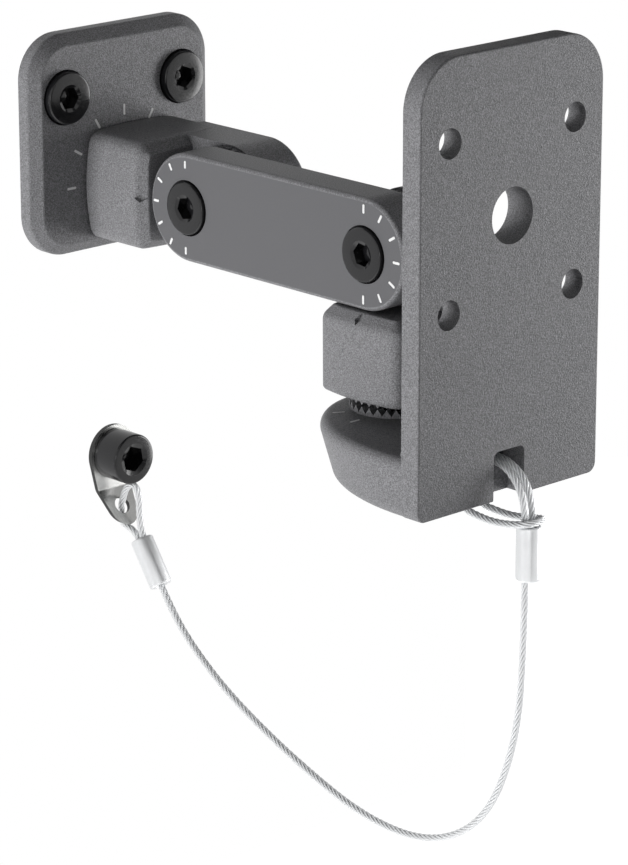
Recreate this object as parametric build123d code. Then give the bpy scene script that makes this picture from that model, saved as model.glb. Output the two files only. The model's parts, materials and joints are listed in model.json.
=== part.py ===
from build123d import *
import math
import os

# Speaker wall bracket: a chain of four toothed or clamped hinges from the wall to the speaker, with
# a safety rope. Millimetres. The wall is the plane y = 0 and lies on the +Y side, +Z is up. The
# origin lies on the wall, midway between the two wall screws.

# Screws: every one is M8, and one key turns all the low heads
thread_d = 8.0
thread_play = 0.1
clear_d = 8.4
tip_chamfer = 1.0
neck_d = 7.0
low_head_d = 13.0
low_head_h = 5.0
low_key = 5.0
low_key_depth = 2.6
cap_head_d = 13.0
cap_head_h = 8.0
cap_key = 6.0
cap_key_depth = 4.0
sunk_head_d = 15.2
sunk_head_h = 3.6
sunk_key = 5.0
sunk_key_depth = 2.4
head_edge = 0.5
key_point_d = 0.4
pocket_d = 13.8

# Toothed rings: radial teeth that run out to points at the axis, on the pivots and on the bases
tooth_h = 1.6
pivot_ring = (36, 8.6, 12.8)
base_ring = (30, 7.2, 10.6)
tooth_root = 0.6
mesh_gap = 0.3

# Wall plate
wall_w = 58.0
wall_h = 55.5
wall_t = 5.5
wall_edge_h = 3.2
wall_bevel = 2.9
wall_soft = 1.0
wall_corner = 11.0
wall_top = 15.5
wall_screw_pitch = 37.2
wall_screw_len = 30.0
wall_head_proud = 1.8
axis_drop = 23.0
ring_slot_play = 0.4

# Knuckle: the same casting serves at the wall and at the head
knuckle_gap = 0.2
pivot_reach = 34.5
block_depth = 20.7
ear_in = 4.0
ear_out = 18.0
ear_r = 13.4
base_left = 13.3
base_half = 14.2
end_left = 13.0
end_half = 13.6
crown = 0.9
flank_crown = 1.8
block_corner = 3.6
block_bevel = 2.6
bevel_soft = 2.8
bevel_edge = 0.8
block_soft = 1.0
ear_soft = 1.2
pointer_len = 3.4
pointer_w = 2.0
pointer_depth = 0.8
base_screw_depth = 17.0
wall_pivot_len = 20.0
pan_screw_len = 25.0

# Arm
arm_len = 61.3
arm_t = 10.2
arm_half = 13.4
arm_soft = 1.2
arm_head_proud = 0.9
arm_screw_len = 20.0

# Speaker plate with its oval foot, one casting
plate_w = 58.6
plate_top = 53.2
plate_bottom = 52.2
plate_t = 5.4
plate_ahead = 37.5
plate_corner = 12.0
plate_foot_corner = 2.5
plate_soft = 0.5
speaker_hole_d = 7.0
speaker_pitch_x = 40.0
speaker_pitch_z = 39.0
speaker_rise = 14.3
cable_hole_d = 13.2
cable_collar_d = 18.0
cable_collar_h = 2.4
shelf_drop = 38.4
shelf_r = 29.0
shelf_reach = 39.5
shelf_ahead = 23.5
foot_reach = 42.6
shelf_soft_top = 2.4
shelf_soft_bottom = 2.5
shelf_inner_r = 3.0
pan_head_play = 0.6
notch_w = 10.0
notch_h = 11.8
notch_corner = 1.6
bar_h = 7.1
bar_depth = 6.0
bar_soft = 2.2
rope_slot = 5.0

# Safety rope, its pressed sleeves and its wall eyelet
rope_d = 1.8
sleeve_d = 6.0
sleeve_len = 13.2
sleeve_soft = 0.6
eyelet_t = 1.2
eyelet_r = 7.4
eyelet_tip_r = 4.2
eyelet_hole_d = 4.4
eyelet_hole_drop = 13.5
eyelet_bend_drop = 9.0
eyelet_angle = 35.0
eyelet_bend_r = 1.0
eyelet_drop = 72.5
eyelet_aside = -1.5
eyelet_screw_len = 30.0

# Rope routes as points chosen by hand, with the arc at each inner point
hang_route = [
    (0, -144.6, -93.4),
    (0, -144.6, -112.0),
    (0, -142.4, -135.0),
    (0, -133.0, -157.0),
    (0, -115.0, -168.3),
    (0, -92.0, -168.6),
    (0, -67.0, -160.8),
    (0, -43.0, -150.4),
    (0, -28.0, -140.2),
    (0, -20.684, -132.546),
    (0, -17.252, -127.626),
]
hang_arcs = [160, 66, 30, 34, 65, 220, 86, 45, 35]
hitch_half = [
    (1.25, -145.5, -80.2),
    (1.25, -145.5, -72.8),
    (1.25, -137.8, -66.0),
    (1.5, -125.1, -67.4),
    (2.6, -125.1, -77.9),
    (3.2, -147.9, -79.2),
]
hitch_arcs = [8.4, 10.4, 3.0, 5.0, 2.8]
wall_loop_route = [
    (0, -10.52, -116.228),
    (0, -9.09, -114.178),
    (0.2, -10.2, -103.2),
    (-1.4, -5.4, -102.9),
    (-1.5, -2.6, -113.4),
    (0, -7.45, -115.322),
    (0, -8.88, -117.372),
]
wall_loop_arcs = [3.0, 2.2, 2.4, 2.0, 3.0]
hitch_sleeve_top = (0, -145.5, -80.2)
hitch_sleeve_way = (0, 0, -1)
wall_sleeve_top = (0, -9.7, -116.8)
wall_sleeve_way = (0, -0.572, -0.82)

# Places that follow from the sizes above
axis_z = -axis_drop
knuckle_y = -(wall_t + knuckle_gap)
wall_seat = wall_t - (low_head_h - wall_head_proud)
pivot_y = knuckle_y - pivot_reach
head_y = pivot_y - arm_len
plate_y = head_y - plate_ahead
shelf_y = head_y - shelf_ahead
shelf_z = axis_z - shelf_drop
foot_z = axis_z - plate_bottom
head_base_z = axis_z - pivot_reach
ring_lift = ear_in - mesh_gap - 2 * tooth_h
edge_reach = 0.4
eyelet_z = axis_z - eyelet_drop


def bar(d, z0, z1):
    """Round bar on the Z axis between two heights."""
    return Pos(0, 0, z0) * Cylinder(d / 2, z1 - z0, align=(Align.CENTER, Align.CENTER, Align.MIN))


def key_socket(width, top, depth):
    """Hexagon socket across its flats, open at the top, with a cone-bottomed pilot."""
    hexagon = RegularPolygon(width / 2, 6, major_radius=False)
    socket = Pos(0, 0, top - depth) * extrude(hexagon, depth)
    below = (Align.CENTER, Align.CENTER, Align.MAX)
    point = Cone(key_point_d / 2, width / 2, width / 4, align=below)
    return socket + Pos(0, 0, top - depth) * point


def screw(head, top, length, key, key_depth):
    """Screw with its head above z = 0, a neck as long as the wall seat is thick, and its thread."""
    shank = bar(thread_d, -length, -wall_seat)
    shank = chamfer(shank.edges().sort_by(Axis.Z)[0], tip_chamfer)
    neck = bar(neck_d, -wall_seat, 0)
    return head + neck + shank - key_socket(key, top, key_depth)


def low_head_screw(length):
    head = bar(low_head_d, 0, low_head_h)
    head = fillet(head.edges().sort_by(Axis.Z)[-1], head_edge)
    return screw(head, low_head_h, length, low_key, low_key_depth)


def cap_screw(length):
    head = bar(cap_head_d, 0, cap_head_h)
    head = fillet(head.edges().sort_by(Axis.Z)[-1], head_edge)
    return screw(head, cap_head_h, length, cap_key, cap_key_depth)


def sunk_cone(play):
    """Cone of a sunk head whose face lies at z = 0, grown sideways by a play."""
    below = (Align.CENTER, Align.CENTER, Align.MAX)
    return Cone(thread_d / 2 + play, sunk_head_d / 2 + play, sunk_head_h, align=below)


def sunk_screw(length):
    """Sunk-head screw with its face at z = 0 and its shank below."""
    shank = bar(thread_d, -length, -sunk_head_h / 2)
    shank = chamfer(shank.edges().sort_by(Axis.Z)[0], tip_chamfer)
    return sunk_cone(0) + shank - key_socket(sunk_key, 0, sunk_key_depth)


def tooth_section(count, r, tip, root):
    """Cross-section of one tooth at a radius, on a plane that faces along X."""
    half = r * math.tan(math.pi / count)
    outline = Polyline((-half, -root), (half, -root), (half, 0), (0, tip), (-half, 0), close=True)
    return Plane(origin=(r, 0, 0), x_dir=(0, 1, 0), z_dir=(1, 0, 0)) * make_face(outline)


def tooth_ring(ring, lift):
    """Ring of radial teeth that point up, with their roots at z = lift and a seat down to z = 0."""
    count, inner, outer = ring
    root = lift + tooth_root
    low = tooth_section(count, inner, tooth_h * inner / outer, root)
    tooth = loft([low, tooth_section(count, outer, tooth_h, root)], ruled=True)
    return [Pos(0, 0, lift) * Rot(0, 0, 360 / count * n) * tooth for n in range(count)]


def place(frame, shapes):
    return [frame * shape for shape in shapes]


def pillow(left, right, half, bulge, left_bulge):
    """Outline with four gently crowned sides and round corners."""
    x0, x1 = left_bulge - left, right - bulge
    y1 = half - bulge
    mid = (x0 + x1) / 2
    sides = [
        ThreePointArc((x0, -y1), (-left, 0), (x0, y1)),
        ThreePointArc((x0, y1), (mid, half), (x1, y1)),
        ThreePointArc((x1, y1), (right, 0), (x1, -y1)),
        ThreePointArc((x1, -y1), (mid, -half), (x0, -y1)),
    ]
    face = make_face(sides)
    return fillet(face.vertices(), block_corner)


def knuckle():
    """Casting with its base at z = 0 and its pivot along X, pivot_reach above the base."""
    base = pillow(base_left, ear_out, base_half, crown, flank_crown)
    end = pillow(end_left, ear_out, end_half, crown / 3, flank_crown / 2)
    block = loft([base, Pos(0, 0, block_depth) * end], ruled=True)
    block = chamfer(block.faces().sort_by(Axis.Z)[-1].edges(), block_bevel)
    block = fillet(block.faces().sort_by(Axis.Z)[-1].edges(), bevel_edge)
    block = fillet(level_edges(block, block_depth - block_bevel), bevel_soft)
    block = fillet(block.faces().sort_by(Axis.Z)[0].edges(), block_soft)
    pivot = Pos(0, 0, pivot_reach)
    side = Plane(origin=(ear_in, 0, 0), x_dir=(0, 1, 0), z_dir=(1, 0, 0))
    start = block_depth / 2
    profile = Pos(0, (start + pivot_reach) / 2) * Rectangle(2 * ear_r, pivot_reach - start)
    profile += Pos(0, pivot_reach) * Circle(ear_r)
    ear = extrude(side * profile, ear_out - ear_in)
    outer = ear.faces().sort_by(Axis.X)[-1].edges()
    ear = fillet(outer.filter_by(lambda edge: edge.center().Z > start + 0.1), ear_soft)
    body = block + ear
    ear_ring = Plane(origin=(ear_in, 0, pivot_reach), x_dir=(0, 1, 0), z_dir=(-1, 0, 0)).location
    body += place(ear_ring, tooth_ring(pivot_ring, 0))
    body += place(Rot(180, 0, 0), tooth_ring(base_ring, 0))
    tapped = thread_d + thread_play
    body -= bar(tapped, -tooth_h, base_screw_depth)
    body -= pivot * Rot(0, 90, 0) * bar(tapped, ear_in - tooth_h, ear_out)
    return body - pointer()


def level_edges(body, z):
    """Edges whose middle lies at a height."""
    return body.edges().filter_by_position(Axis.Z, z - edge_reach, z + edge_reach)


def pointer():
    """Arrow engraved in the bevel of the flank, with its point at the pivot end."""
    tip, half = -pointer_len / 2, pointer_w / 2
    barb = tip + pointer_w
    outline = Polyline((0, -tip), (half, barb), (0, tip), (-half, barb), close=True)
    middle = (block_bevel / 2 - end_left, 0, block_depth - block_bevel / 2)
    bevel = Plane(origin=middle, x_dir=(0, 1, 0), z_dir=(-1, 0, 1)).offset(pointer_depth)
    return extrude(bevel * make_face(outline), -2 * pointer_depth)


def wall_plate():
    """Bevelled plate: two pockets for the wall screws and a toothed slot round the wall hinge."""
    outline = Pos(0, wall_top - wall_h / 2) * RectangleRounded(wall_w, wall_h, wall_corner)
    plate = extrude(outline, wall_t)
    rim = plate.faces().sort_by(Axis.Z)[-1]
    plate = chamfer(rim.edges(), wall_bevel, wall_t - wall_edge_h, reference=rim)
    plate = fillet(level_edges(plate, wall_t), wall_soft)
    plate = fillet(level_edges(plate, wall_edge_h), wall_soft)
    for side in (-1, 1):
        seat = Pos(side * wall_screw_pitch / 2, 0)
        plate -= seat * bar(clear_d, 0, wall_t) + seat * bar(pocket_d, wall_seat, wall_t)
    hinge = Pos(0, axis_z)
    bed = wall_t + knuckle_gap - 2 * tooth_h - mesh_gap
    inner, outer = base_ring[1:]
    slot = bar(2 * (outer + ring_slot_play), bed, wall_t)
    slot -= bar(2 * (inner - ring_slot_play), bed, wall_t)
    plate -= hinge * slot
    plate += place(hinge * Pos(0, 0, bed), tooth_ring(base_ring, 0))
    plate -= hinge * bar(clear_d, 0, wall_t)
    plate -= hinge * Rot(180, 0, 0) * sunk_cone((clear_d - thread_d) / 2)
    return plate


def arm():
    """Flat bar with round ends, a pocket and a toothed ring at each pivot."""
    outline = Rectangle(arm_len, 2 * arm_half)
    for side in (-1, 1):
        outline += Pos(side * arm_len / 2, 0) * Circle(arm_half)
    body = extrude(outline, arm_t)
    body = fillet(body.faces().sort_by(Axis.Z)[-1].edges(), arm_soft)
    pocket = arm_t - (low_head_h - arm_head_proud)
    for side in (-1, 1):
        pivot = Pos(side * arm_len / 2, 0)
        body += place(pivot * Rot(180, 0, 0), tooth_ring(pivot_ring, ring_lift))
        body -= pivot * bar(clear_d, -ring_lift - tooth_h, arm_t)
        body -= pivot * bar(pocket_d, pocket, arm_t)
    return body


def speaker_plate():
    """Speaker plate and oval foot, seen from the front as a plan in X and Z."""
    outline = Pos(0, (plate_top - plate_bottom) / 2) * Rectangle(plate_w, plate_top + plate_bottom)
    corners = outline.vertices().sort_by(Axis.Y)
    outline = fillet(corners[:2], plate_foot_corner)
    outline = fillet(outline.vertices().sort_by(Axis.Y)[-2:], plate_corner)
    front = Plane(origin=(0, plate_y, axis_z), x_dir=(1, 0, 0), z_dir=(0, -1, 0))
    plate = extrude(front * outline, -plate_t)
    plate = fillet(plate.faces().sort_by(Axis.Y)[0].edges(), plate_soft)
    collar = Pos(0, speaker_rise) * Circle(cable_collar_d / 2)
    body = plate + foot() + cove() + extrude(front * collar, -plate_t - cable_collar_h)
    holes = GridLocations(speaker_pitch_x, speaker_pitch_z, 2, 2)
    rows = [Pos(0, speaker_rise) * hole * Circle(speaker_hole_d / 2) for hole in holes]
    rows.append(Pos(0, speaker_rise) * Circle(cable_hole_d / 2))
    for row in rows:
        body -= extrude(front * row, -plate_t - cable_collar_h)
    body -= rope_passage()
    pan = Pos(0, head_y, shelf_z)
    gap = shelf_drop - pivot_reach
    under = foot_z - shelf_z
    body += place(pan, tooth_ring(base_ring, gap - mesh_gap - 2 * tooth_h))
    body -= pan * bar(clear_d, under, gap)
    return body - pan * bar(pocket_d, under, under + low_head_h + pan_head_play)


def foot():
    """Foot with an oval end behind the plate, drawn in below, with soft upper and lower rims."""
    joint_y = plate_y + plate_t / 2
    low = Pos(0, 0, foot_z) * half_oval(plate_y + plate_t, foot_reach, joint_y)
    high = Pos(0, 0, shelf_z) * half_oval(shelf_y, shelf_reach, joint_y)
    block = loft([low, high], ruled=True)
    block = fillet(rim_edges(block, joint_y, shelf_z), shelf_soft_top)
    return fillet(rim_edges(block, joint_y, foot_z), shelf_soft_bottom)


def half_oval(middle_y, reach, joint_y):
    """Half an oval that reaches back from its middle, with straight sides to the joint."""
    oval = EllipticalCenterArc((0, middle_y), shelf_r, reach, start_angle=0, arc_size=180)
    left, right = (-shelf_r, joint_y), (shelf_r, joint_y)
    sides = Polyline((-shelf_r, middle_y), left, right, (shelf_r, middle_y))
    return make_face([oval, sides])


def rim_edges(block, joint_y, z):
    """Edges of a flat face at one height, without the edge in the joint with the plate."""
    level = block.edges().filter_by(lambda edge: abs(edge.center().Z - z) < 0.01)
    return level.filter_by(lambda edge: edge.center().Y > joint_y + 0.1)


def cove():
    """Concave fillet where the foot meets the back of the plate."""
    y0, z0 = plate_y + plate_t, shelf_z
    y1, z1 = y0 + shelf_inner_r, z0 + shelf_inner_r
    sunk = shelf_inner_r / 3
    hollow = RadiusArc((y1, z0), (y0, z1), -shelf_inner_r)
    back = Polyline((y0, z1), (y0 - sunk, z1), (y0 - sunk, z0 - sunk), (y1, z0 - sunk), (y1, z0))
    width = 2 * (shelf_r - shelf_soft_top)
    side = Plane(origin=(-width / 2, 0, 0), x_dir=(0, 1, 0), z_dir=(1, 0, 0))
    return extrude(side * make_face([hollow, back]), width)


def rope_passage():
    """Way of the rope: in at the notch, over the bar and down behind it."""
    front = Plane(origin=(0, plate_y, foot_z), x_dir=(1, 0, 0), z_dir=(0, -1, 0))
    mouth = Pos(0, notch_h / 2) * Rectangle(notch_w, notch_h)
    mouth = fillet(mouth.vertices().sort_by(Axis.Y)[-2:], notch_corner)
    way = extrude(front * mouth, -(plate_t + bar_depth + rope_slot))
    return way - rope_bar()


def rope_bar():
    """Bar with a round top, left standing across the way of the rope."""
    y0 = plate_y + plate_t
    section = Pos(y0 + bar_depth / 2, foot_z + bar_h / 2) * Rectangle(bar_depth, bar_h)
    section = fillet(section.vertices().sort_by(Axis.Y)[-2:], bar_soft)
    side = Plane(origin=(-notch_w / 2, 0, 0), x_dir=(0, 1, 0), z_dir=(1, 0, 0))
    return extrude(side * section, notch_w)


def tube(route, arcs):
    """Rope along straight runs joined by tangent arcs."""
    path = FilletPolyline(*route, radius=arcs)
    section = Plane(origin=path @ 0, z_dir=path % 0) * Circle(rope_d / 2)
    print("rope radii", arcs, "length", round(path.length, 1), "section", round(section.area, 3))
    return sweep(section, path=path)


def hitch_route():
    """Loop that goes up over the rope bar, down behind it and round its own legs."""
    other = [(-x, y, z) for x, y, z in reversed(hitch_half)]
    return hitch_half + other, hitch_arcs + hitch_arcs[::-1]


def sleeve(top, way):
    """Pressed sleeve from its upper end along a direction."""
    body = bar(sleeve_d, 0, sleeve_len)
    body = fillet(body.edges().filter_by(GeomType.CIRCLE), sleeve_soft)
    return Plane(origin=top, z_dir=way).location * body


def eyelet_tab():
    """Bent sheet tab: a disc under the cap screw and a lobe that leans into the room."""
    lean = math.radians(eyelet_angle)
    bend_z = eyelet_z - eyelet_bend_drop
    reach = 3 * eyelet_tip_r
    way = (-math.sin(lean), -math.cos(lean))
    out = (math.cos(lean), -math.sin(lean))
    top_z = eyelet_z + eyelet_r
    inner = (-eyelet_t, bend_z)
    outer = (0, bend_z - eyelet_t * math.tan(lean / 2))
    end = (inner[0] + reach * way[0], inner[1] + reach * way[1])
    end_back = (end[0] + eyelet_t * out[0], end[1] + eyelet_t * out[1])
    outline = Polyline((-eyelet_t, top_z), inner, end, end_back, outer, (0, top_z), close=True)
    strip = make_face(outline)
    strip = fillet(strip.vertices().sort_by_distance((*inner, 0))[0], eyelet_bend_r)
    strip = fillet(strip.vertices().sort_by_distance((*outer, 0))[0], eyelet_bend_r + eyelet_t)
    side = Plane(origin=(eyelet_aside - 2 * eyelet_r, 0, 0), x_dir=(0, 1, 0), z_dir=(1, 0, 0))
    sheet = extrude(side * strip, 4 * eyelet_r)
    disc = Pos(eyelet_aside, eyelet_z) * Circle(eyelet_r)
    tip = Pos(eyelet_aside, eyelet_z - eyelet_hole_drop) * Circle(eyelet_tip_r)
    plan = make_hull(disc.edges() + tip.edges())
    room = Plane(origin=(0, 2 * reach, 0), x_dir=(1, 0, 0), z_dir=(0, -1, 0))
    tab = sheet & extrude(room * plan, 4 * reach)
    hole_y = -eyelet_t / 2 - (eyelet_hole_drop - eyelet_bend_drop) * math.tan(lean)
    hole_at = (eyelet_aside, hole_y, eyelet_z - eyelet_hole_drop)
    tab -= Plane(origin=hole_at, z_dir=(0, *out)).location * bar(eyelet_hole_d, -reach, reach)
    screw_hole = Rot(90, 0, 0) * bar(clear_d, -eyelet_t, 2 * eyelet_t)
    return tab - Pos(eyelet_aside, 0, eyelet_z) * screw_hole


def write(name, shape):
    export_step(shape, f"parts/{name}.step")
    print(name, round(shape.volume, 1))


def write_screws():
    """Wall screws, the hinge screw of each joint and the eyelet's cap screw."""
    room = Rot(90, 0, 0)
    wall_screw = room * low_head_screw(wall_screw_len)
    pair = [Pos(side * wall_screw_pitch / 2, -wall_seat, 0) * wall_screw for side in (-1, 1)]
    write("wall_screws", Compound(children=pair))
    write("wall_hinge_screw", Pos(0, 0, axis_z) * Rot(-90, 0, 0) * sunk_screw(wall_pivot_len))
    seat_x = low_head_h - arm_head_proud - arm_t
    arm_screw = Rot(0, -90, 0) * low_head_screw(arm_screw_len)
    write("arm_screw_wall_end", Pos(seat_x, pivot_y, axis_z) * arm_screw)
    write("arm_screw_head_end", Pos(seat_x, head_y, axis_z) * arm_screw)
    pan_seat = foot_z + low_head_h + pan_head_play
    write("pan_screw", Pos(0, head_y, pan_seat) * Rot(180, 0, 0) * low_head_screw(pan_screw_len))
    eyelet_seat = Pos(eyelet_aside, -eyelet_t, eyelet_z)
    write("eyelet_screw", eyelet_seat * room * cap_screw(eyelet_screw_len))


def main():
    os.makedirs("parts", exist_ok=True)
    toward_room = Plane(origin=(0, 0, 0), x_dir=(1, 0, 0), z_dir=(0, -1, 0)).location
    write("wall_plate", toward_room * wall_plate())
    casting = knuckle()
    wall_frame = Plane(origin=(0, knuckle_y, axis_z), x_dir=(1, 0, 0), z_dir=(0, -1, 0)).location
    write("wall_knuckle", wall_frame * casting)
    write("head_knuckle", Pos(0, head_y, head_base_z) * casting)
    side = Plane(origin=(-arm_t, 0, axis_z), x_dir=(0, 1, 0), z_dir=(-1, 0, 0)).location
    write("arm", Pos(arm_t, (pivot_y + head_y) / 2, 0) * side * arm())
    write("speaker_plate", speaker_plate())
    write_screws()
    write("rope_hang", tube(hang_route, hang_arcs))
    write("rope_hitch", tube(*hitch_route()))
    write("rope_wall_loop", tube(wall_loop_route, wall_loop_arcs))
    write("hitch_sleeve", sleeve(hitch_sleeve_top, hitch_sleeve_way))
    write("wall_sleeve", sleeve(wall_sleeve_top, wall_sleeve_way))
    write("eyelet_tab", eyelet_tab())


if __name__ == "__main__":
    main()
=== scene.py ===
import json
import math
from collections import namedtuple

import bmesh
import bpy
from bpy.props import FloatProperty, FloatVectorProperty, IntProperty, PointerProperty
from mathutils import Matrix, Vector


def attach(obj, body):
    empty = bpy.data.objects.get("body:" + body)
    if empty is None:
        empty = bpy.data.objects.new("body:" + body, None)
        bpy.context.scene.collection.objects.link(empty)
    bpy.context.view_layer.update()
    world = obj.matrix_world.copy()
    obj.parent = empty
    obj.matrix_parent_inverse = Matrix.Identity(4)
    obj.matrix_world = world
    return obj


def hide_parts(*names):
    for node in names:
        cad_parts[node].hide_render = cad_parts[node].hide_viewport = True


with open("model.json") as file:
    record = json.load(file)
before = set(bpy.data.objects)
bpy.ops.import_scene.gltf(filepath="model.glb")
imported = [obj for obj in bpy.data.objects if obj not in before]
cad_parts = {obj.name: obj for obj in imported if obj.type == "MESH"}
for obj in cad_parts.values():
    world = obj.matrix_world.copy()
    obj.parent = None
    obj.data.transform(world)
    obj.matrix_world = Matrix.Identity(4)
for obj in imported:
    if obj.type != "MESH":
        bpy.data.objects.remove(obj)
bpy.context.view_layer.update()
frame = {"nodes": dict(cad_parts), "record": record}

bl_info = {
    "name": "Speaker wall bracket",
    "version": (1, 0, 0),
    "blender": (4, 5, 0),
    "location": "View3D > Sidebar > Bracket",
    "description": "Coat, scales, screws, safety rope and stage of a speaker wall bracket",
    "category": "Object",
}

# Directions of the row frame, with the wall at the back
RIGHT, BACK, UP = Vector((1, 0, 0)), Vector((0, 1, 0)), Vector((0, 0, 1))

# Places of the hinges and the wall screws, in metres like every length here
MM = 0.001
RECORD = frame["record"]
HINGES = {joint["name"]: joint["pos_m"] for joint in RECORD["behaviour"]["joints"]}
MOUNT_SIZES = {mount["name"]: mount["dims"] for mount in RECORD["mounts"]}
WALL_AXIS_Z = HINGES["wall_rotation"][2]
ARM_PIVOT_Y = HINGES["arm_tilt"][1]
HEAD_PIVOT_Y = HINGES["head_tilt"][1]
SHELF_Z = HINGES["speaker_pan"][2]
WALL_SCREW_X = MOUNT_SIZES["wall_screws"]["spacing_x_mm"] / 2 * MM

# Printed faces, how far a scale's centre is from its hinge, and the radii of the marks
WALL_FACE_Y = -0.0055
ARM_FACE_X = -0.0102
WALL_END_SHIFT = 0.0005
PAN_SHIFT = -0.0025
WALL_MARKS = (0.0159, 0.0187)
WALL_END_MARKS = (0.0097, 0.0116)
HEAD_END_MARKS = (0.0097, 0.0119)
PAN_MARKS = (0.0137, 0.0167)

# Radius of a mark's corners as a share of its width
MARK_ROUND = 0.45

# Seats under the screw heads, and the air between a clamp screw and its seat
WALL_SEAT_Y = -0.0023
ARM_SEAT_X = -0.0061
PAN_SEAT_Z = -0.0696
HINGE_SEAT_Y = -0.0036
EYELET_AT = (-0.0015, -0.0012, -0.0955)
SEAT_GAP = 0.00003

# Lengths of the screws under their heads
WALL_LENGTH = 0.030
ARM_LENGTH = 0.020
PAN_LENGTH = 0.025
CAP_LENGTH = 0.030
HINGE_LENGTH = 0.0164

# Screw heads: height, radius of the upper edge, and mouth radius, key and depth of the socket
Head = namedtuple("Head", "height edge mouth key depth")
LOW_HEAD = Head(height=0.005, edge=0.0005, mouth=0.0034, key=0.005, depth=0.0026)
CAP_HEAD = Head(height=0.008, edge=0.0006, mouth=0.0042, key=0.006, depth=0.004)
SUNK_HEAD = Head(height=0.0036, edge=0, mouth=0.0034, key=0.005, depth=0.0022)
SUNK_RADIUS = 0.0076

# Bevels under a head, below the neck and at the tip
HEAD_BREAK = 0.0002
NECK_BREAK = 0.0003
TIP_BREAK = 0.0006

# Degrees past which an edge stays sharp, on the screws and elsewhere
SCREW_SHARP = 20
PLAIN_SHARP = 32

# Shares of the key: how deep the socket's lead-in and the point of its drill go
LEAD_IN = 0.08
DRILL_POINT = 1 / 6

# Shares of the pitch: depth, how far the ridge is sunk, and half its width at foot and crest
THREAD_DEPTH = 0.61
THREAD_SINK = 0.1
THREAD_FOOT = 0.47
THREAD_CREST = 0.07
THREAD_STEPS = 30

# Rope routes, point by point as in the part's source, and the step between drawn points
HANG_ROUTE = [
    (0, -0.1446, -0.0934),
    (0, -0.1446, -0.1120),
    (0, -0.1424, -0.1350),
    (0, -0.1330, -0.1570),
    (0, -0.1150, -0.1683),
    (0, -0.0920, -0.1686),
    (0, -0.0670, -0.1608),
    (0, -0.0430, -0.1504),
    (0, -0.0280, -0.1402),
    (0, -0.020684, -0.132546),
    (0, -0.017252, -0.127626),
]
HITCH_HALF = [
    (0.00125, -0.1455, -0.0802),
    (0.00125, -0.1455, -0.0728),
    (0.00125, -0.1378, -0.0660),
    (0.0015, -0.1251, -0.0674),
    (0.0026, -0.1251, -0.0797),
    (0.0031, -0.1345, -0.0808),
    (0.0034, -0.1412, -0.0803),
    (0.0035, -0.1466, -0.0791),
    (0.0018, -0.1479, -0.0790),
]
WALL_LOOP_ROUTE = [
    (0, -0.01052, -0.116228),
    (0, -0.00909, -0.114178),
    (0.0003, -0.0086, -0.1029),
    (-0.0014, -0.0054, -0.1029),
    (-0.0015, -0.0026, -0.1134),
    (0, -0.00745, -0.115322),
    (0, -0.00888, -0.117372),
]
ROPE_STEP = 0.00035

# Sleeves: the upper end of each and the way down from it
HITCH_SLEEVE_TOP = (0, -0.1455, -0.0802)
HITCH_SLEEVE_WAY = (0, 0, -1)
WALL_SLEEVE_TOP = (0, -0.0097, -0.1168)
WALL_SLEEVE_WAY = (0, -0.572, -0.82)

# Both sleeves: round of the ends, bore radius as a share of the rope, and flattening
SLEEVE_LIP = 0.0006
SLEEVE_BORE = 0.75
SLEEVE_OVAL = 0.95
SLEEVE_SIDES = 64

# Depths of the hollow at a sleeve's end, and the bevel of its edge
HOLLOW_MIDDLE = 0.0006
HOLLOW_RIM = 0.0005
HOLLOW_BREAK = 0.0002

# Coat: band of the noise that makes the speckle, and shades of the base colour at its ends
SPECKLE_BAND = (0.36, 0.66)
COAT_SHADES = (0.62, 1.42)
FACE_SHADES = (0.97, 1.03)

# Camera of the photograph: place, turns in degrees and shift of its sensor
CAMERA_AT = (-0.6114, -0.7244, 0.2011)
CAMERA_TURNS = (73.21, 0.0, -43.41)
CAMERA_SHIFT = (-0.0135, -0.0271)

# Distances below which points are one point or lie at one height
MERGE = 1e-7
NEAR = 1e-6


class BracketCoat(bpy.types.PropertyGroup):
    """Colours of the coats and the printed scales."""

    body: FloatVectorProperty(
        name="Body coat", description="Textured coat of the castings", subtype="COLOR",
        default=(0.2, 0.2, 0.208), min=0, max=1)
    face: FloatVectorProperty(
        name="Arm face", description="Smooth coat on the flat of the arm", subtype="COLOR",
        default=(0.125, 0.125, 0.131), min=0, max=1)
    mark: FloatVectorProperty(
        name="Scale marks", description="Ink of the degree marks", subtype="COLOR",
        default=(0.8, 0.8, 0.8), min=0, max=1)
    grain: FloatProperty(
        name="Grain", description="Size of one pimple of the textured coat", unit="LENGTH",
        default=0.0003, min=0.0001, max=0.002)


class BracketScale(bpy.types.PropertyGroup):
    """Degree scales of the hinges."""

    step: IntProperty(
        name="Step", description="Degrees from one mark to the next", default=30, min=5, max=90)
    width: FloatProperty(
        name="Mark width", description="Width of one mark", unit="LENGTH", default=0.00062)
    proud: FloatProperty(
        name="Ink height", description="Height of the ink above the coat", unit="LENGTH",
        default=0.00006)


class BracketScrew(bpy.types.PropertyGroup):
    """Sizes that all the screws share."""

    thread: FloatProperty(
        name="Thread", description="Outer diameter of the thread", unit="LENGTH", default=0.008)
    pitch: FloatProperty(
        name="Pitch", description="Rise of one turn of the thread", unit="LENGTH",
        default=0.00125)
    head: FloatProperty(
        name="Head", description="Diameter of a screw head", unit="LENGTH", default=0.013)
    neck: FloatProperty(
        name="Neck", description="Diameter of the neck under the head", unit="LENGTH",
        default=0.007)
    neck_length: FloatProperty(
        name="Neck length", description="Length of the neck above the thread", unit="LENGTH",
        default=0.0023)
    steps: IntProperty(
        name="Steps", description="Sides of one turn, a multiple of six", default=48, min=12)


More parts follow.
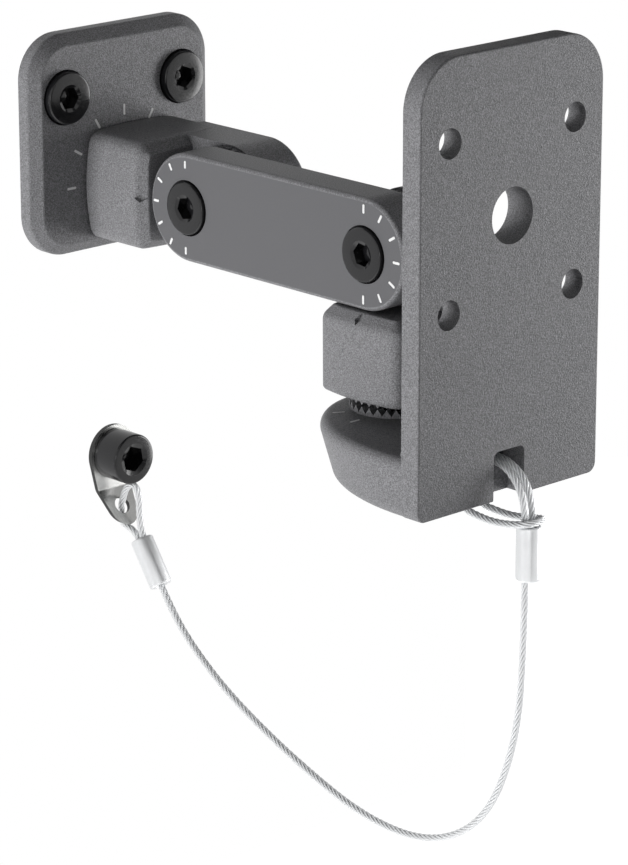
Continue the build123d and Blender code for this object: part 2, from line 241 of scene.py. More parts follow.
class BracketRope(bpy.types.PropertyGroup):
    """Wire rope and its sleeves."""

    diameter: FloatProperty(
        name="Rope", description="Diameter of the rope", unit="LENGTH", default=0.0018)
    strands: IntProperty(name="Strands", description="Strands round the core", default=6, min=3)
    lay: FloatProperty(
        name="Lay", description="Length in which a strand goes once round", unit="LENGTH",
        default=0.010)
    sleeve: FloatProperty(
        name="Sleeve", description="Diameter of a pressed sleeve", unit="LENGTH", default=0.006)
    sleeve_length: FloatProperty(
        name="Sleeve length", description="Length of a pressed sleeve", unit="LENGTH",
        default=0.0132)


class BracketStage(bpy.types.PropertyGroup):
    """Camera and light."""

    lens: FloatProperty(
        name="Lens", description="Focal length on a 36 mm sensor", unit="CAMERA",
        default=161.71)
    key: FloatProperty(
        name="Key light", description="Power of the left softbox", unit="POWER", default=12.3)
    front: FloatProperty(
        name="Front light", description="Power of the right softbox", unit="POWER", default=3.1)
    glint: FloatProperty(
        name="Glint light", description="Power of the small softbox", unit="POWER", default=0.6)


def tidy_mesh(bm, name, sharp=PLAIN_SHARP):
    """Merge doubles, turn the faces outwards and shade smooth up to an angle in degrees."""
    bmesh.ops.remove_doubles(bm, verts=bm.verts, dist=MERGE)
    bmesh.ops.recalc_face_normals(bm, faces=bm.faces)
    mesh = bpy.data.meshes.new(name)
    bm.to_mesh(mesh)
    bm.free()
    mesh.shade_smooth()
    mesh.set_sharp_from_angle(angle=math.radians(sharp))
    return mesh


def add_piece(name, mesh, material, body, nodes=()):
    """Object at the origin that rides on a body and may stand for some solids."""
    piece = bpy.data.objects.new(name, mesh)
    bpy.context.scene.collection.objects.link(piece)
    mesh.materials.clear()
    mesh.materials.append(material)
    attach(piece, body)
    if nodes:
        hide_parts(*nodes)
    return piece


def coat_node(name, material):
    """Give a carried-over solid its finish."""
    data = frame["nodes"][name].data
    data.materials.clear()
    data.materials.append(material)


def empty_material(name):
    """Material with nothing but its output, its tree and the output's surface."""
    material = bpy.data.materials.new(name)
    material.use_nodes = True
    tree = material.node_tree
    tree.nodes.clear()
    out = tree.nodes.new("ShaderNodeOutputMaterial")
    return material, tree, out.inputs["Surface"]


def new_material(name):
    """Material with one surface shader, its tree and that shader."""
    material, tree, surface = empty_material(name)
    shader = tree.nodes.new("ShaderNodeBsdfPrincipled")
    tree.links.new(shader.outputs["BSDF"], surface)
    return material, tree, shader


def feed(tree, value, socket):
    """Link a socket to an input, or set the input to a plain value."""
    if isinstance(value, bpy.types.NodeSocket):
        tree.links.new(value, socket)
    else:
        socket.default_value = value


def calculate(tree, operation, *values):
    """Math node on sockets or plain values."""
    node = tree.nodes.new("ShaderNodeMath")
    node.operation = operation
    for value, socket in zip(values, node.inputs):
        feed(tree, value, socket)
    return node.outputs[0]


def object_point(tree):
    """Point of the surface in the piece's own coordinates."""
    return tree.nodes.new("ShaderNodeTexCoord").outputs["Object"]


def normal_part(tree, axis):
    """One component of the surface's direction in the piece's own coordinates."""
    normal = tree.nodes.new("ShaderNodeTexCoord").outputs["Normal"]
    parts = tree.nodes.new("ShaderNodeSeparateXYZ")
    tree.links.new(normal, parts.inputs[0])
    return parts.outputs[axis]


def noise(tree, size, detail=3.0):
    """Noise whose blobs are about one size wide."""
    node = tree.nodes.new("ShaderNodeTexNoise")
    node.inputs["Scale"].default_value = 1 / size
    node.inputs["Detail"].default_value = detail
    tree.links.new(object_point(tree), node.inputs["Vector"])
    return node.outputs["Fac"]


def ramp(tree, value, source, target=(0.0, 1.0)):
    """Map a value from one range to another, clamped."""
    node = tree.nodes.new("ShaderNodeMapRange")
    tree.links.new(value, node.inputs["Value"])
    for label, ends in (("From", source), ("To", target)):
        node.inputs[label + " Min"].default_value = ends[0]
        node.inputs[label + " Max"].default_value = ends[1]
    return node.outputs["Result"]


def blend_colour(tree, factor, first, second):
    """Mix two colours, each a socket or a plain colour."""
    node = tree.nodes.new("ShaderNodeMix")
    node.data_type = "RGBA"
    tree.links.new(factor, node.inputs[0])
    for socket, colour in ((node.inputs[6], first), (node.inputs[7], second)):
        linked = isinstance(colour, bpy.types.NodeSocket)
        feed(tree, colour if linked else (*colour, 1), socket)
    return node.outputs[2]


def bump(tree, shader, height, strength, distance):
    """Raise the shader's surface by a height."""
    node = tree.nodes.new("ShaderNodeBump")
    node.inputs["Strength"].default_value = strength
    node.inputs["Distance"].default_value = distance
    tree.links.new(height, node.inputs["Height"])
    tree.links.new(node.outputs["Normal"], shader.inputs["Normal"])


def grain_group():
    """Shared grain of the coats: the height of its pimples and a speckle for the colour."""
    name = "Coat grain"
    if name in bpy.data.node_groups:
        return bpy.data.node_groups[name]
    group = bpy.data.node_groups.new(name, "ShaderNodeTree")
    sockets = group.interface
    sockets.new_socket("Point", in_out="INPUT", socket_type="NodeSocketVector")
    sockets.new_socket("Size", in_out="INPUT", socket_type="NodeSocketFloat")
    for out in ("Height", "Speckle"):
        sockets.new_socket(out, in_out="OUTPUT", socket_type="NodeSocketFloat")
    enter = group.nodes.new("NodeGroupInput")
    leave = group.nodes.new("NodeGroupOutput")
    per_metre = calculate(group, "DIVIDE", 1.0, enter.outputs["Size"])
    for label, factor in (("Height", 0.8), ("Speckle", 1.0)):
        texture = group.nodes.new("ShaderNodeTexNoise")
        texture.inputs["Detail"].default_value = 2.0
        texture.inputs["Roughness"].default_value = 0.6
        scale = calculate(group, "MULTIPLY", per_metre, factor)
        group.links.new(scale, texture.inputs["Scale"])
        group.links.new(enter.outputs["Point"], texture.inputs["Vector"])
        group.links.new(texture.outputs["Fac"], leave.inputs[label])
    return group


def coat_shader(name, settings):
    """Material of a coat with its tree, its shader and the outputs of its grain."""
    material, tree, shader = new_material(name)
    shader.inputs["Metallic"].default_value = 0.15
    shader.inputs["Specular IOR Level"].default_value = 0.2
    grain = tree.nodes.new("ShaderNodeGroup")
    grain.node_tree = grain_group()
    grain.inputs["Size"].default_value = settings.grain
    tree.links.new(object_point(tree), grain.inputs["Point"])
    return material, tree, shader, grain.outputs


def speckled(tree, grain, base, shades):
    """Colour that runs between two shades of a base colour with the speckle."""
    speckle = ramp(tree, grain["Speckle"], SPECKLE_BAND)
    dark, light = (Vector(base) * shade for shade in shades)
    return blend_colour(tree, speckle, dark, light)


def coat_material(settings):
    """Fine textured metallic powder coat of the castings."""
    material, tree, shader, grain = coat_shader("Textured coat", settings)
    colour = speckled(tree, grain, settings.body, COAT_SHADES)
    tree.links.new(colour, shader.inputs["Base Color"])
    rough = ramp(tree, grain["Height"], (0.3, 0.7), (0.58, 0.42))
    tree.links.new(rough, shader.inputs["Roughness"])
    bump(tree, shader, grain["Height"], strength=0.8, distance=0.00015)
    return material


def arm_material(settings):
    """Arm coat: smooth on the flat face, textured on the rim and the back."""
    material, tree, shader, grain = coat_shader("Arm coat", settings)
    flat = ramp(tree, normal_part(tree, "X"), (-0.99, -0.97), (1.0, 0.0))
    textured = speckled(tree, grain, settings.body, COAT_SHADES)
    smooth = speckled(tree, grain, settings.face, FACE_SHADES)
    colour = blend_colour(tree, flat, textured, smooth)
    tree.links.new(colour, shader.inputs["Base Color"])
    rough = ramp(tree, flat, (0.0, 1.0), (0.5, 0.42))
    tree.links.new(rough, shader.inputs["Roughness"])
    fade = ramp(tree, flat, (0.0, 1.0), (1.0, 0.06))
    height = calculate(tree, "MULTIPLY", grain["Height"], fade)
    bump(tree, shader, height, strength=0.55, distance=0.00012)
    return material


def mark_material(settings):
    """Matt ink of the degree marks."""
    material, tree, shader = new_material("Scale ink")
    cloud = noise(tree, 0.0004)
    ink = Vector(settings.mark)
    colour = blend_colour(tree, ramp(tree, cloud, (0.35, 0.7)), ink * 0.9, ink)
    tree.links.new(colour, shader.inputs["Base Color"])
    shader.inputs["Roughness"].default_value = 0.6
    bump(tree, shader, cloud, strength=0.2, distance=0.00003)
    return material


def metal_material(name, colour, rough, spread, metallic=1.0, grain=0.0006, specular=0.5):
    """Bare or blackened metal with a faint cloud in colour and gloss."""
    material, tree, shader = new_material(name)
    shader.inputs["Metallic"].default_value = metallic
    shader.inputs["Specular IOR Level"].default_value = specular
    cloud = noise(tree, grain)
    base, band = Vector(colour), (0.3, 0.7)
    tint = blend_colour(tree, ramp(tree, cloud, band), base * 0.92, base)
    tree.links.new(tint, shader.inputs["Base Color"])
    gloss = ramp(tree, cloud, band, (rough - spread, rough + spread))
    tree.links.new(gloss, shader.inputs["Roughness"])
    bump(tree, shader, cloud, strength=0.3, distance=0.00001)
    return material


def tab_material():
    """Polished sheet whose sheared edges are duller than its faces and coloured near-black as
    painted shade.
    """
    material, tree, shader = new_material("Polished tab, edge shade painted")
    across = calculate(tree, "ABSOLUTE", normal_part(tree, "Y"))
    # Mask: one on the flat faces, nought on the edges and the hole's wall. Their near-black colour
    # is painted shade; their higher roughness is the sheared finish.
    face = ramp(tree, across, (0.58, 0.74))
    cloud = noise(tree, 0.003)
    sheet = blend_colour(tree, cloud, (0.48, 0.48, 0.47), (0.58, 0.58, 0.57))
    colour = blend_colour(tree, face, (0.07, 0.07, 0.07), sheet)
    tree.links.new(colour, shader.inputs["Base Color"])
    rough = ramp(tree, face, (0.0, 1.0), (0.55, 0.26))
    tree.links.new(rough, shader.inputs["Roughness"])
    shader.inputs["Metallic"].default_value = 1.0
    bump(tree, shader, cloud, strength=0.2, distance=0.00002)
    return material


class BRACKET_OT_coat(bpy.types.Operator):
    """Give the castings and the arm their coats"""

    bl_idname = "bracket.coat"
    bl_label = "Coat the castings"

    def execute(self, context):
        settings = context.scene.bracket_coat
        coat = coat_material(settings)
        for name in ("wall_plate", "wall_knuckle", "head_knuckle", "speaker_plate"):
            coat_node(name, coat)
        coat_node("arm", arm_material(settings))
        return {"FINISHED"}


def add_mark(bm, settings, place, length):
    """One printed mark with round ends: along local X, standing up along local Z."""
    width, proud = settings.width, settings.proud
    made = bmesh.ops.create_cube(bm, size=1.0)
    verts = made["verts"]
    bmesh.ops.scale(bm, vec=(length, width, 2 * proud), verts=verts)
    upright = [e for e in {e for v in verts for e in v.link_edges}
               if abs(e.verts[0].co.z - e.verts[1].co.z) > proud]
    made = bmesh.ops.bevel(bm, geom=upright, offset=MARK_ROUND * width, offset_type="OFFSET",
                           affect="EDGES", segments=3, profile=0.5, material=-1)
    verts = list({v for v in verts if v.is_valid} | set(made["verts"]))
    bmesh.ops.transform(bm, matrix=place, verts=verts)


def add_scale(bm, settings, plane, radii, first, last):
    """Radial marks between two radii, from one angle to another in degrees."""
    inner, outer = radii
    for angle in range(first, last + 1, settings.step):
        turn = Matrix.Rotation(math.radians(angle), 4, "Z")
        place = plane @ turn @ Matrix.Translation(((inner + outer) / 2, 0, 0))
        add_mark(bm, settings, place, outer - inner)


def face_plane(origin, across, along):
    """Matrix of a plane by its origin, its X and its Y directions."""
    turn = Matrix((across, along, across.cross(along))).transposed().to_4x4()
    return Matrix.Translation(origin) @ turn


class BRACKET_OT_scales(bpy.types.Operator):
    """Print the degree scales of the hinges"""

    bl_idname = "bracket.scales"
    bl_label = "Print the scales"

    def execute(self, context):
        settings = context.scene.bracket_scale
        ink = mark_material(context.scene.bracket_coat)
        wall = face_plane((0, WALL_FACE_Y, WALL_AXIS_Z), RIGHT, UP)
        wall_end, head_end = (face_plane((ARM_FACE_X, y, WALL_AXIS_Z), -BACK, UP)
                              for y in (ARM_PIVOT_Y + WALL_END_SHIFT, HEAD_PIVOT_Y))
        shelf = face_plane((0, HEAD_PIVOT_Y + PAN_SHIFT, SHELF_Z), RIGHT, BACK)
        for name, body, slot, rows in (
            ("wall_scale", "wall_base", "coat", [(wall, WALL_MARKS, 0, 180)]),
            ("arm_scales", "arm_link", "arm_coat",
             [(wall_end, WALL_END_MARKS, 90, 270), (head_end, HEAD_END_MARKS, -90, 90)]),
            ("pan_scale", "speaker_carrier", "coat",
             [(shelf, PAN_MARKS, 0, 30), (shelf, PAN_MARKS, 150, 180)]),
        ):
            bm = bmesh.new()
            for row in rows:
                add_scale(bm, settings, *row)
            add_piece(name, tidy_mesh(bm, name), ink, body)
        return {"FINISHED"}


def quarter_turn(steps):
    """Angles of a quarter of a circle, in radians."""
    return [math.pi / 2 * n / steps for n in range(steps + 1)]


def turn_to(way):
    """Turn that brings the Z axis to a direction."""
    return UP.rotation_difference(Vector(way)).to_matrix().to_4x4()


def lathe(bm, profile, steps):
    """Spin a profile of radius and height about the Z axis."""
    verts = [bm.verts.new((r, 0, z)) for r, z in profile]
    edges = [bm.edges.new(pair) for pair in zip(verts, verts[1:])]
    bmesh.ops.spin(bm, geom=verts + edges, cent=(0, 0, 0), axis=UP, dvec=(0, 0, 0),
                   angle=2 * math.pi, steps=steps, use_merge=True)
    bmesh.ops.remove_doubles(bm, verts=bm.verts, dist=MERGE)


def cut_socket(bm, head, steps):
    """Hexagon socket inside the open rim at the top of a head."""
    rim = [e for e in bm.edges if e.is_boundary and e.verts[0].co.z > head.height - NEAR]
    ring = bmesh.ops.create_circle(bm, cap_ends=False, segments=6, radius=head.key / math.sqrt(3))
    mouth = head.height - LEAD_IN * head.key
    bmesh.ops.translate(bm, vec=(0, 0, mouth), verts=ring["verts"])
    hexagon = list({e for v in ring["verts"] for e in v.link_edges})
    bmesh.ops.subdivide_edges(bm, edges=hexagon, cuts=steps // 6 - 1)
    hexagon = [e for e in bm.edges if e.is_wire]
    bmesh.ops.bridge_loops(bm, edges=rim + hexagon)
    made = bmesh.ops.extrude_edge_only(bm, edges=hexagon)
    low = [v for v in made["geom"] if isinstance(v, bmesh.types.BMVert)]
    bmesh.ops.translate(bm, vec=(0, 0, -head.depth), verts=low)
    floor = [e for e in made["geom"] if isinstance(e, bmesh.types.BMEdge) and e.is_boundary]
    made = bmesh.ops.edgeloop_fill(bm, edges=floor)
    bmesh.ops.poke(bm, faces=made["faces"], offset=-DRILL_POINT * head.key)


def add_thread(bm, settings, start, end):
    """Helical ridge of the thread between two heights below the head."""
    pitch, crest = settings.pitch, settings.thread / 2
    foot = crest - (THREAD_DEPTH + THREAD_SINK) * pitch
    rows = ((foot, THREAD_FOOT), (crest, THREAD_CREST),
            (crest, -THREAD_CREST), (foot, -THREAD_FOOT))
    verts = [bm.verts.new((r, 0, start + (share - 0.5) * pitch)) for r, share in rows]
    face = bm.faces.new(verts)
    turns = max(1, int((start - end) / pitch) - 1)
    bmesh.ops.spin(bm, geom=[face, *face.edges, *verts], cent=(0, 0, 0), axis=UP,
                   dvec=(0, 0, -pitch / THREAD_STEPS), angle=2 * math.pi * turns,
                   steps=turns * THREAD_STEPS, use_merge=False)
    open_edges = [e for e in bm.edges if e.is_boundary]
    bmesh.ops.holes_fill(bm, edges=open_edges, sides=4)


def head_profile(head, radius):
    """Outline of a head up to its socket: a cone, or a cylinder with a round upper edge."""
    rim = (head.mouth, head.height)
    if not head.edge:
        return [(radius, head.height), rim]
    arc = [(radius - head.edge * (1 - math.cos(a)), head.height - head.edge * (1 - math.sin(a)))
           for a in quarter_turn(6)]
    return [(radius - HEAD_BREAK, 0), (radius, HEAD_BREAK), *arc, rim]


def add_screw(bm, settings, place, length, head, radius):
    """Add one screw, made upright on its seat at z = 0, then turned and moved to its place."""
    root = settings.thread / 2 - THREAD_DEPTH * settings.pitch
    neck, neck_end, tip = settings.neck / 2, -settings.neck_length, TIP_BREAK - length
    shank = [(0, -length), (root - TIP_BREAK, -length), (root, tip),
             (root, neck_end - NECK_BREAK), (neck, neck_end), (neck, 0)]
    one = bmesh.new()
    lathe(one, shank + head_profile(head, radius), settings.steps)
    cut_socket(one, head, settings.steps)
    add_thread(one, settings, neck_end, tip)
    bmesh.ops.transform(one, matrix=place, verts=one.verts)
    mesh = bpy.data.meshes.new("screw")
    one.to_mesh(mesh)
    one.free()
    bm.from_mesh(mesh)
    bpy.data.meshes.remove(mesh)


def screw_place(seat, way, spin=0):
    """Place of a screw by its seat, the way its head points and its own turn in degrees."""
    twist = Matrix.Rotation(math.radians(spin), 4, "Z")
    return Matrix.Translation(seat) @ turn_to(way) @ twist


class BRACKET_OT_screws(bpy.types.Operator):
    """Model the screws with their sockets and threads"""

    bl_idname = "bracket.screws"
    bl_label = "Add the screws"

    def execute(self, context):
        settings = context.scene.bracket_screw
        black = metal_material("Black oxide", (0.008, 0.008, 0.009), rough=0.15, spread=0.04,
                               metallic=0.0, specular=0.42)
        zinc = metal_material("Zinc plate", (0.62, 0.63, 0.65), rough=0.32, spread=0.06)
        pair = [screw_place((side * WALL_SCREW_X, WALL_SEAT_Y, 0), -BACK, 18 - 9 * side)
                for side in (-1, 1)]
        wall_end, head_end = (
            [screw_place((ARM_SEAT_X - SEAT_GAP, y, WALL_AXIS_Z), -RIGHT, spin)]
            for y, spin in ((ARM_PIVOT_Y, 12), (HEAD_PIVOT_Y, -8)))
        pan = [screw_place((0, HEAD_PIVOT_Y, PAN_SEAT_Z - SEAT_GAP), -UP)]
        eyelet = [screw_place(EYELET_AT, -BACK, 10)]
        for name, node, body, places, length, head in (
            ("wall_screw_pair", "wall_screws", "wall_base", pair, WALL_LENGTH, LOW_HEAD),
            ("arm_screw_wall_end_dressed", "arm_screw_wall_end", "wall_turner", wall_end,
             ARM_LENGTH, LOW_HEAD),
            ("arm_screw_head_end_dressed", "arm_screw_head_end", "head_turner", head_end,
             ARM_LENGTH, LOW_HEAD),
            ("pan_screw_dressed", "pan_screw", "head_turner", pan, PAN_LENGTH, LOW_HEAD),
            ("eyelet_cap_screw", "eyelet_screw", "wall_base", eyelet, CAP_LENGTH, CAP_HEAD),
        ):
            bm = bmesh.new()
            for place in places:
                add_screw(bm, settings, place, length, head, settings.head / 2)
            add_piece(name, tidy_mesh(bm, name, SCREW_SHARP), black, body, [node])
        bm = bmesh.new()
        hinge = screw_place((0, HINGE_SEAT_Y, WALL_AXIS_Z), BACK)
        add_screw(bm, settings, hinge, HINGE_LENGTH, SUNK_HEAD, SUNK_RADIUS)
        add_piece("wall_hinge_screw_dressed", tidy_mesh(bm, "wall_hinge_screw", SCREW_SHARP), zinc,
                  "wall_turner", ["wall_hinge_screw"])
        return {"FINISHED"}


def curve_mesh(curve):
    """Mesh of a curve, which is used up."""
    line = bpy.data.objects.new(curve.name, curve)
    bpy.context.scene.collection.objects.link(line)
    mesh = bpy.data.meshes.new_from_object(line)
    bpy.data.objects.remove(line)
    bpy.data.curves.remove(curve)
    return mesh


def route_points(name, points):
    """Even points along the smooth line that a route's control points give."""
    curve = bpy.data.curves.new(name + "_line", "CURVE")
    curve.dimensions = "3D"
    spline = curve.splines.new("NURBS")
    spline.points.add(len(points) - 1)
    for point, place in zip(spline.points, points):
        point.co = (*place, 1)
    spline.order_u = 3
    spline.use_endpoint_u = True
    spline.resolution_u = 24
    mesh = curve_mesh(curve)
    path = [v.co.copy() for v in mesh.vertices]
    bpy.data.meshes.remove(mesh)
    return even(path, ROPE_STEP)


def even(path, spacing):
    """The same line with points a fixed distance apart."""
    lengths = [0.0]
    for a, b in zip(path, path[1:]):
        lengths.append(lengths[-1] + (b - a).length)
    count = max(2, round(lengths[-1] / spacing))
    out, k = [], 0
    for n in range(count + 1):
        want = lengths[-1] * n / count
        while k < len(path) - 2 and lengths[k + 1] < want:
            k += 1
        gap = lengths[k + 1] - lengths[k]
        share = (want - lengths[k]) / gap if gap > 0 else 0.0
        out.append(path[k].lerp(path[k + 1], min(1.0, share)))
    return out


def carried_frames(path):
    """Two directions across the line at each point that turn no more than the line does."""
    way = [(path[min(n + 1, len(path) - 1)] - path[max(n - 1, 0)]).normalized()
           for n in range(len(path))]
    side = way[0].orthogonal().normalized()
    frames = []
    for n, ahead in enumerate(way):
        if n:
            side = way[n - 1].rotation_difference(ahead) @ side
        frames.append((side.copy(), ahead.cross(side)))
    return frames


def rope_mesh(name, path, settings):
    """Strands laid round a core along a line, three abreast across the rope."""
    radius = settings.diameter / 3 / 2
    frames = carried_frames(path)
    step = (path[1] - path[0]).length
    curve = bpy.data.curves.new(name, "CURVE")
    curve.dimensions = "3D"
    curve.bevel_depth = radius
    curve.bevel_resolution = 1
    curve.use_fill_caps = True
    for strand in range(settings.strands + 1):
        offset = 0.0 if strand == settings.strands else 2 * radius
        spline = curve.splines.new("POLY")
        spline.points.add(len(path) - 1)
        for n, (place, (side, up)) in enumerate(zip(path, frames)):
            turn = 2 * math.pi * (n * step / settings.lay + strand / settings.strands)
            where = place + offset * (math.cos(turn) * side + math.sin(turn) * up)
            spline.points[n].co = (*where, 1)
    mesh = curve_mesh(curve)
    mesh.name = name
    mesh.shade_smooth()
    return mesh


def sleeve_mesh(name, top, way, settings):
    """Pressed sleeve, slightly oval, with a hollow at each end round the rope."""
    radius, length = settings.sleeve / 2, settings.sleeve_length
    bore = SLEEVE_BORE * settings.diameter
    arc = [(radius - SLEEVE_LIP * (1 - math.sin(a)), SLEEVE_LIP * (1 - math.cos(a)))
           for a in quarter_turn(4)]
    low = [(0, HOLLOW_MIDDLE), (bore, HOLLOW_RIM), (bore + HOLLOW_BREAK, 0), *arc]
    high = [(r, length - z) for r, z in reversed(low)]
    bm = bmesh.new()
    lathe(bm, low + high, SLEEVE_SIDES)
    bmesh.ops.scale(bm, vec=(1.0, SLEEVE_OVAL, 1.0), verts=bm.verts)
    bmesh.ops.transform(bm, matrix=Matrix.Translation(top) @ turn_to(way), verts=bm.verts)
    return tidy_mesh(bm, name)


class BRACKET_OT_rope(bpy.types.Operator):
    """Lay the safety rope and press its sleeves"""

    bl_idname = "bracket.rope"
    bl_label = "Lay the rope"

    def execute(self, context):
        settings = context.scene.bracket_rope
        bright = (0.79, 0.8, 0.81)
        steel = metal_material("Rope wire", bright, rough=0.5, spread=0.06, metallic=0.75,
                               grain=0.0003)
        pressed = metal_material("Pressed sleeve", bright, rough=0.36, spread=0.04, metallic=0.8,
                                 grain=0.004)
        sleeves = []
        for name, top, way, body in (
            ("hitch_sleeve", HITCH_SLEEVE_TOP, HITCH_SLEEVE_WAY, "speaker_carrier"),
            ("wall_sleeve", WALL_SLEEVE_TOP, WALL_SLEEVE_WAY, "wall_base"),
        ):
            mesh = sleeve_mesh(name, top, way, settings)
            sleeves.append(add_piece(name + "_pressed", mesh, pressed, body,
                                     [name]))
        other = [(-x, y, z) for x, y, z in reversed(HITCH_HALF)]
        for name, route, body, far_end, lay, pieces in (
            ("rope_hang", HANG_ROUTE, "speaker_carrier", "fitting", "hanging", sleeves[1:]),
            ("rope_hitch", HITCH_HALF + other, "speaker_carrier", "object", "loose", []),
            ("rope_wall_loop", WALL_LOOP_ROUTE, "wall_base", "object", "loose", []),
        ):
            path = route_points(name, route)
            mesh = rope_mesh(name + "_strands", path, settings)
            rope = add_piece(name + "_strands", mesh, steel, body, [name])
        return {"FINISHED"}


class BRACKET_OT_eyelet(bpy.types.Operator):
    """Polish the eyelet tab"""

    bl_idname = "bracket.eyelet"
    bl_label = "Polish the eyelet"

    def execute(self, context):
        coat_node("eyelet_tab", tab_material())
        return {"FINISHED"}


def add_camera(lens):
    """Camera of the photograph."""
    data = bpy.data.cameras.new("Camera")
    data.lens = lens
    data.sensor_width = 36.0
    data.shift_x, data.shift_y = CAMERA_SHIFT
    data.clip_start, data.clip_end = 0.05, 20.0
    camera = bpy.data.objects.new("Camera", data)
    camera.location = CAMERA_AT
    camera.rotation_euler = tuple(map(math.radians, CAMERA_TURNS))
    bpy.context.scene.collection.objects.link(camera)
    bpy.context.scene.camera = camera


def add_softbox(name, power, size, place, aim):
    """Rectangular area light that looks at a point."""
    light = bpy.data.lights.new(name, "AREA")
    light.shape = "RECTANGLE"
    light.size, light.size_y = size
    light.energy = power
    lamp = bpy.data.objects.new(name, light)
    lamp.location = place
    lamp.rotation_euler = (Vector(aim) - Vector(place)).to_track_quat("-Z", "Y").to_euler()
    bpy.context.scene.collection.objects.link(lamp)
    return lamp


def seen_rays(tree):
    """Mask of the camera, glossy and transmission rays."""
    rays = tree.nodes.new("ShaderNodeLightPath").outputs
    seen = rays["Is Camera Ray"]
    for ray in ("Is Glossy Ray", "Is Transmission Ray"):
        seen = calculate(tree, "MAXIMUM", seen, rays[ray])
    return seen


def mix_shaders(tree, factor, first, second):
    """Mix of two shaders: the second where the factor is one."""
    mix = tree.nodes.new("ShaderNodeMixShader")
    for value, socket in zip((factor, first, second), mix.inputs):
        tree.links.new(value, socket)
    return mix.outputs[0]


def seen_white(tree, kind, other):
    """White light of a kind of shader where it is seen, and another shader for other rays."""
    white = tree.nodes.new(kind)
    white.inputs["Color"].default_value = (1, 1, 1, 1)
    return mix_shaders(tree, seen_rays(tree), other, white.outputs[0])


def white_world(level):
    """White surround that lights the object at a low, plain level."""
    world = bpy.data.worlds.new("Studio")
    bpy.context.scene.world = world
    world.use_nodes = True
    tree = world.node_tree
    tree.nodes.clear()
    out = tree.nodes.new("ShaderNodeOutputWorld")
    soft = tree.nodes.new("ShaderNodeBackground")
    soft.inputs["Color"].default_value = (level, level, level, 1)
    white = seen_white(tree, "ShaderNodeBackground", soft.outputs[0])
    tree.links.new(white, out.inputs["Surface"])


def clear_shader(tree):
    """Shader that lets everything through."""
    return tree.nodes.new("ShaderNodeBsdfTransparent").outputs[0]


def one_sided(tree, front):
    """A shader that is clear from behind and nearly edge-on."""
    slant = tree.nodes.new("ShaderNodeLayerWeight")
    slant.inputs["Blend"].default_value = 0.5
    edge_on = calculate(tree, "GREATER_THAN", slant.outputs["Facing"], 0.7)
    behind = tree.nodes.new("ShaderNodeNewGeometry").outputs["Backfacing"]
    hidden = calculate(tree, "MAXIMUM", edge_on, behind)
    return mix_shaders(tree, hidden, front, clear_shader(tree))


def wall_material():
    """Wall behind the bracket: white from the room, not there from behind or to the light."""
    material, tree, surface = empty_material("Wall card")
    white = seen_white(tree, "ShaderNodeEmission", clear_shader(tree))
    tree.links.new(one_sided(tree, white), surface)
    return material


def floor_material():
    """Pale floor, white where it is seen from above and not there from below."""
    material, tree, surface = empty_material("Pale floor")
    shader = tree.nodes.new("ShaderNodeBsdfPrincipled")
    cloud = noise(tree, 0.05, detail=2.0)
    colour = blend_colour(tree, cloud, (0.9, 0.9, 0.9), (0.94, 0.94, 0.94))
    tree.links.new(colour, shader.inputs["Base Color"])
    shader.inputs["Roughness"].default_value = 0.8
    glow = tree.nodes.new("ShaderNodeEmission")
    tree.links.new(calculate(tree, "MULTIPLY", seen_rays(tree), 0.92), glow.inputs["Strength"])
    both = tree.nodes.new("ShaderNodeAddShader")
    tree.links.new(shader.outputs[0], both.inputs[0])
    tree.links.new(glow.outputs[0], both.inputs[1])
    tree.links.new(one_sided(tree, both.outputs[0]), surface)
    return material


def flag_material():
    """Dark, matt cloth."""
    material, _, shader = new_material("Dark flag")
    shader.inputs["Base Color"].default_value = (0.2, 0.2, 0.2, 1)
    shader.inputs["Roughness"].default_value = 1.0
    return material


def stage_card(name, size, place, way, material):
    """Flat stage card, subdivided once, that faces a direction."""
    bm = bmesh.new()
    bmesh.ops.create_grid(bm, x_segments=2, y_segments=2, size=0.5)
    bmesh.ops.scale(bm, vec=(*size, 1), verts=bm.verts)
    turn = Vector(way).to_track_quat("Z", "Y").to_matrix().to_4x4()
    bmesh.ops.transform(bm, matrix=Matrix.Translation(place) @ turn, verts=bm.verts)
    mesh = bpy.data.meshes.new(name)
    bm.to_mesh(mesh)
    bm.free()
    mesh.materials.append(material)
    card = bpy.data.objects.new(name, mesh)
    bpy.context.scene.collection.objects.link(card)
    return card


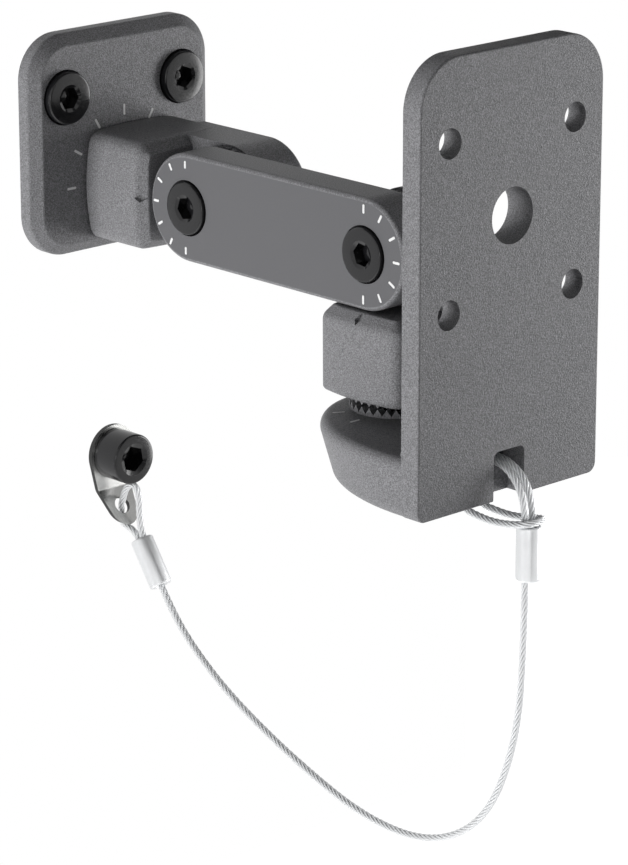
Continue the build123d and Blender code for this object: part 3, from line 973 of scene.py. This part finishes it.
class BRACKET_OT_stage(bpy.types.Operator):
    """Set the camera, the light, the floor, the wall card and the flags"""

    bl_idname = "bracket.stage"
    bl_label = "Set the stage"

    def execute(self, context):
        settings = context.scene.bracket_stage
        context.scene.view_settings.view_transform = "Standard"
        add_camera(settings.lens)
        white_world(level=0.08)
        key = add_softbox("Key softbox", settings.key, size=(0.6, 0.6),
                          place=(-0.95, 0.12, -0.25), aim=(0, -0.08, -0.05))
        key.visible_glossy = False
        add_softbox("Front softbox", settings.front, size=(0.3, 0.4),
                    place=(0.66, -0.42, -0.15), aim=(0, 0, 0))
        add_softbox("Glint softbox", settings.glint, size=(0.2, 0.2),
                    place=(-0.75, -0.75, 0.02), aim=(0, -0.03, -0.02))
        stage_card("floor", (4, 4), (0, 0, -0.75), UP, floor_material())
        stage_card("wall_card", (0.26, 0.34), (0, 0.0004, -0.05), -BACK, wall_material())
        dark = flag_material()
        for name, size, place, way in (
            ("top_flag", (1.4, 1.4), (0.2, 0.2, 0.4), UP),
            ("back_flag", (1.2, 0.9), (0.6, 0.55, 0.22), (0.6, 0.65, 0.28)),
            ("strip_flag", (0.16, 1.0), (-0.31, -1.0, -0.3), (-0.34, -0.94, 0)),
        ):
            stage_card(name, size, place, way, dark).visible_camera = False
        return {"FINISHED"}


STEPS = ("coat", "scales", "screws", "rope", "eyelet", "stage")
GROUPS = {
    "bracket_coat": BracketCoat,
    "bracket_scale": BracketScale,
    "bracket_screw": BracketScrew,
    "bracket_rope": BracketRope,
    "bracket_stage": BracketStage,
}


class BRACKET_PT_panel(bpy.types.Panel):
    """Steps and sizes of the bracket"""

    bl_idname = "BRACKET_PT_panel"
    bl_label = "Speaker wall bracket"
    bl_space_type = "VIEW_3D"
    bl_region_type = "UI"
    bl_category = "Bracket"

    def draw(self, context):
        for step in STEPS:
            self.layout.operator("bracket." + step)
        for name, cls in GROUPS.items():
            for prop in cls.__annotations__:
                self.layout.prop(getattr(context.scene, name), prop)


CLASSES = (
    *GROUPS.values(),
    BRACKET_OT_coat,
    BRACKET_OT_scales,
    BRACKET_OT_screws,
    BRACKET_OT_rope,
    BRACKET_OT_eyelet,
    BRACKET_OT_stage,
    BRACKET_PT_panel,
)


def register():
    for cls in CLASSES:
        bpy.utils.register_class(cls)
    for name, cls in GROUPS.items():
        setattr(bpy.types.Scene, name, PointerProperty(type=cls))


def unregister():
    for name in GROUPS:
        delattr(bpy.types.Scene, name)
    for cls in reversed(CLASSES):
        bpy.utils.unregister_class(cls)


def main():
    register()
    for step in STEPS:
        getattr(bpy.ops.bracket, step)()


if __name__ == "__main__":
    main()
